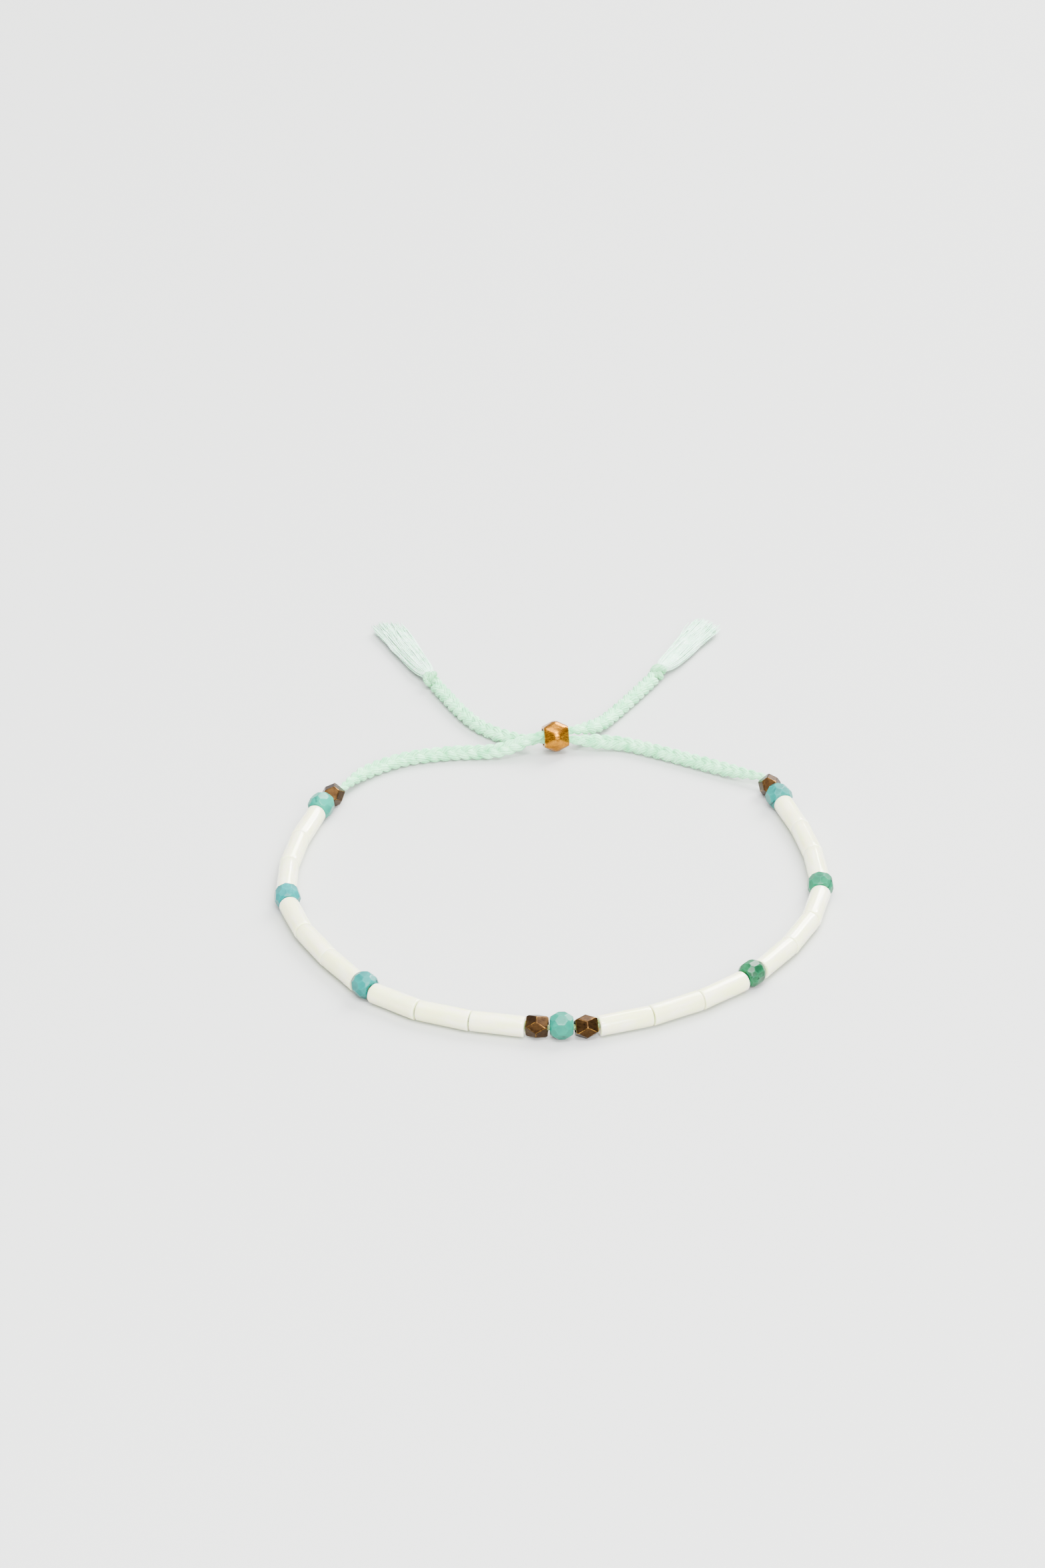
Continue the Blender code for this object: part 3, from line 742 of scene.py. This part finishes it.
# Camera and floor
back_off, rise = CAMERA_DISTANCE * unit(CAMERA_TILT)
camera = bpy.data.cameras.new("camera")
camera.lens = SENSOR * FOCAL_PIXELS / PHOTO_HEIGHT
camera_object = bpy.data.objects.new("camera", camera)
camera_object.location = np.array([CAMERA_AIM[0], CAMERA_AIM[1] - back_off, rise]) * MM
camera_object.rotation_euler = (math.pi / 2 - CAMERA_TILT, 0, 0)
bpy.context.scene.collection.objects.link(camera_object)
bpy.context.scene.camera = camera_object

deselect_all()
bpy.ops.mesh.primitive_plane_add(size=3.0, location=(0, 0, -0.00001))
floor = bpy.context.object
floor.name = "floor"
floor_material, _, floor_shader = new_material("floor_white", Roughness=0.9)
floor_shader.inputs["Base Color"].default_value = srgb(184, 185, 183)
floor.data.materials.append(floor_material)


def softbox(name, place, size, power, color=(1.0, 1.0, 1.0)):
    """A rectangular light that points at the middle of the bracelet; metres and watts."""
    light = bpy.data.lights.new(name, "AREA")
    light.shape = "RECTANGLE"
    light.size, light.size_y = size
    light.energy = power
    light.color = color
    lamp = bpy.data.objects.new(name, light)
    lamp.location = place
    lamp.rotation_euler = (-Vector(place)).to_track_quat("-Z", "Y").to_euler()
    bpy.context.scene.collection.objects.link(lamp)


softbox("window", (0.30, 0.55, 0.55), (0.5, 0.5), 21.0, (1.0, 0.99, 0.97))
softbox("overhead", (-0.15, -0.1, 0.8), (0.7, 0.7), 10.0, (0.97, 0.98, 1.0))
softbox("strip", (0.32, 0.36, 0.42), (0.05, 0.5), 3.2)
softbox("pane", (0.05, -0.22, 0.48), (0.3, 0.1), 4.5)
softbox("front_card", (0.15, -0.6, 0.4), (0.6, 0.3), 14.0)
world = bpy.data.worlds.new("studio")
world.use_nodes = True
sky = world.node_tree
direction = add_node(sky, "ShaderNodeTexCoord", {}).outputs["Generated"]
backward = add_node(sky, "ShaderNodeSeparateXYZ", {"Vector": direction}).outputs["Y"]
room, daylight = (0.62, 0.62, 0.62, 1.0), (1.3, 1.3, 1.38, 1.0)
glow = mixed(sky, ramped(sky, backward, -0.6, 0.5), room, daylight)
sky.links.new(glow, sky.nodes["Background"].inputs["Color"])
bpy.context.scene.world = world

# Braids first, because their routes are the frame's
# Each yarn gets a lit and a shaded tone: painted light and shade
mint = yarn_material("braid_mint", srgb(180, 244, 196), srgb(92, 202, 136), 0.1, 0.05 * MM)
# Painted shade: the knot is the braid's own yarn, coloured darker for the shade in its crevices
knot_mint = yarn_material("knot_mint", srgb(154, 224, 172), srgb(74, 168, 104), 0.1, 0.05 * MM)
tassel_mint = yarn_material(
    "tassel_mint", srgb(224, 255, 234), srgb(170, 236, 196), 0.1, 0.012 * MM)
thread_green = yarn_material(
    "thread_green", srgb(150, 178, 124), srgb(104, 134, 84), 0.1, 0.05 * MM)

for side, far, end_bead, loop, tail, tip, level, phase in (
        ("left", "right", "brass_bead_1", LEFT_LOOP, LEFT_BRAID_TAIL, RIGHT_TIP, 1, 0.6),
        ("right", "left", "brass_bead_4", RIGHT_LOOP, RIGHT_BRAID_TAIL, LEFT_TIP, -1, 2.1)):
    mouths = slider_mouths(level)
    route = cord_route(end_bead, loop, tail, mouths if side == "left" else mouths[::-1])
    spread = cord_spread(route)
    lowered = route - BRAID_DROP * UP * ((spread - SQUEEZED) / (1 - SQUEEZED))[:, None]
    name = f"{side}_braid"
    cord = tube_mesh("plaited_" + name, braided(lowered, spread, phase), 6)
    put_on(cord, "plaited_" + name, mint, name)
    way = route[-1] - route[-16]
    way[2] = 0
    way /= np.linalg.norm(way)
    knot_place = route[-1] + way * (KNOT_LENGTH / 2 + KNOT_OVERLAP)
    knot_place[2] = KNOT_RADIUS
    far_knot = knot(f"{far}_knot", knot_place, way, knot_mint)
    fall = tip - knot_place[:2]
    fall /= np.linalg.norm(fall)
    root = knot_place[:2] + fall * (KNOT_LENGTH / 2 - KNOT_OVERLAP)
    fallen = float(np.linalg.norm(tip - root))
    far_tassel = tassel(f"{far}_tassel", root, fall, fallen, tassel_mint)
    length = np.linalg.norm(np.diff(route, axis=0), axis=1).sum()

# How the beads lie on their string: middle, heading along it, length and radius of the flat ends
string = [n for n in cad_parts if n.startswith(("tube_bead_", "stone_bead_", "brass_bead_"))]
lengths = {"tube": TUBE_LENGTH, "stone": STONE_LENGTH, "brass": BRASS_LENGTH}
rims = {"tube": TUBE_RADIUS, "stone": STONE_END, "brass": BRASS_END}
lies = {}
for node in string:
    middle, heading = bead_place(node)
    onward = np.array([-middle[1], middle[0]])
    if onward @ (math.cos(heading), math.sin(heading)) < 0:
        heading += math.pi
    kind = node.split("_")[0]
    lies[node] = (middle, heading, lengths[kind], rims[kind])
string.sort(key=lambda n: math.atan2(lies[n][0][0], -lies[n][0][1]))


def bend_between(node, after):
    """The angle between the headings of two neighbours."""
    bend = abs(lies[after][1] - lies[node][1]) % (2 * math.pi)
    return min(bend, 2 * math.pi - bend)


def gap_between(node, after):
    """The room left between the rims of two neighbours, where they come closest."""
    ends, rim = [], 0.0
    for name, sign in ((node, 1), (after, -1)):
        middle, heading, length, radius = lies[name]
        ends.append(middle[:2] + sign * length / 2 * unit(heading))
        rim += radius * (1 - END_SLANT if name.startswith("tube") else 1)
    return np.linalg.norm(ends[1] - ends[0]) - rim * math.sin(bend_between(node, after) / 2)


def closer_by(node, step):
    """How far a bead is drawn out, and how much its end slants, to lie close to the next one."""
    place = string.index(node) + step
    if not 0 <= place < len(string):
        return 0.0, 0.0
    pair = (node, string[place]) if step > 0 else (string[place], node)
    share = 1 if "brass" in pair[0] + pair[1] else 2
    reach = np.clip((gap_between(*pair) - BEAD_GAP) / share, 0, MOST_DRAWN)
    return float(reach), END_SLANT * math.tan(bend_between(*pair) / 2)


cream = glass_material()
pattern = glass_tube()
for node in sorted(n for n in string if n.startswith("tube_bead_")):
    bead = copied(pattern)
    uneven(bead, UNEVENNESS, closer_by(node, -1), closer_by(node, 1))
    keep_grain(bead)
    place = resting(bead, *lies[node][:2])
    put_on(bead, "glass_" + node, cream, node, place)
bpy.data.objects.remove(pattern, do_unlink=True)

# Stones: main, deep and pale colour on screen, share of specks, veins and painted edge highlight,
# how far the edges are eased in mm, and facets around
STONES = {
    "stone_bead_1": ((0, 130, 110), (0, 98, 86), (0, 162, 136), 0.0, 0.04, 0.15, 0.09, 8),
    "stone_bead_2": ((0, 112, 110), (0, 88, 90), (10, 158, 152), 0.01, 0.0, 0.15, 0.09, 9),
    "stone_bead_3": ((0, 106, 100), (0, 82, 80), (20, 146, 138), 0.02, 0.04, 0.2, 0.06, 9),
    "stone_bead_4": ((0, 112, 92), (0, 94, 80), (10, 144, 120), 0.035, 0.0, 0.1, 0.05, 8),
    "stone_bead_5": ((0, 80, 44), (0, 46, 24), (26, 124, 82), 0.03, 0.08, 0.3, 0.03, 12),
    "stone_bead_6": ((0, 100, 68), (0, 66, 48), (16, 140, 104), 0.01, 0.05, 0.2, 0.07, 9),
    "stone_bead_7": ((0, 108, 100), (0, 78, 74), (36, 156, 146), 0.04, 0.05, 0.2, 0.08, 8),
}
for node, (main, deep, pale, specks, veins, wear_and_edge_highlight, ease, sides) in STONES.items():
    stone = cut_stone(sides, rng.uniform(0, 1))
    lines = creases(stone.data, math.radians(8))
    drilled(stone, BORE_RADIUS, STONE_LENGTH)
    eased(stone, ease * MM, 3, 8)
    divided(stone, 3)
    # The facet edges, which the stone's material paints with a pale highlight
    keep_edges(stone, lines, 0.04 * MM)
    low, high = (min(closer_by(node, step)[0], STONE_MOST_DRAWN) for step in (-1, 1))
    for vertex in stone.data.vertices:
        vertex.co.x *= 1 + 2 * (high if vertex.co.x > 0 else low) / STONE_LENGTH
    work_on(stone)
    bpy.ops.object.shade_smooth_by_angle(angle=math.radians(12))
    keep_grain(stone)
    material = stone_material(
        node + "_colour", srgb(*main), srgb(*deep), srgb(*pale), specks, veins, wear_and_edge_highlight)
    place = resting(stone, *lies[node][:2])
    put_on(stone, "cut_" + node, material, node, place)

# Brass beads and the sliding bead
dark_brass = brass_material(
    "dark_brass", srgb(66, 46, 24), srgb(46, 31, 17), srgb(160, 116, 50), 2.0, 0.34)
gold_brass = brass_material(
    "gold_brass", srgb(178, 118, 26), srgb(140, 88, 20), srgb(228, 176, 76), 2.2, 0.24)
for k in (1, 2, 3, 4):
    node = f"brass_bead_{k}"
    bead, place = cast_bead(node, BORE_RADIUS, 0.07 * MM, 0.06 * MM)
    put_on(bead, "worn_" + node, dark_brass, node, place)
slider, place = cast_bead("slider_bead", SLIDER_BORE, 0.4 * MM, 0.2 * MM)
put_on(slider, "golden_slider", gold_brass, "slider_bead", place)

# Thread: three plies through every bead, seen where the beads stand apart
thread_points = []
for node in string:
    middle, heading, length, _ = lies[node]
    way = np.array([*unit(heading), 0.0]) * length / 2
    flat = np.array([middle[0], middle[1], THREAD_HEIGHT])
    thread_points += [flat - way, flat, flat + way]
thread_path = smooth_through(thread_points, 0.16 * MM)
thread = tube_mesh("bead_thread", plied(thread_path, 3, 0.14 * MM, 0.155 * MM, 1.1 * MM), 6)
put_on(thread, "green_thread", thread_green, "bead_thread")
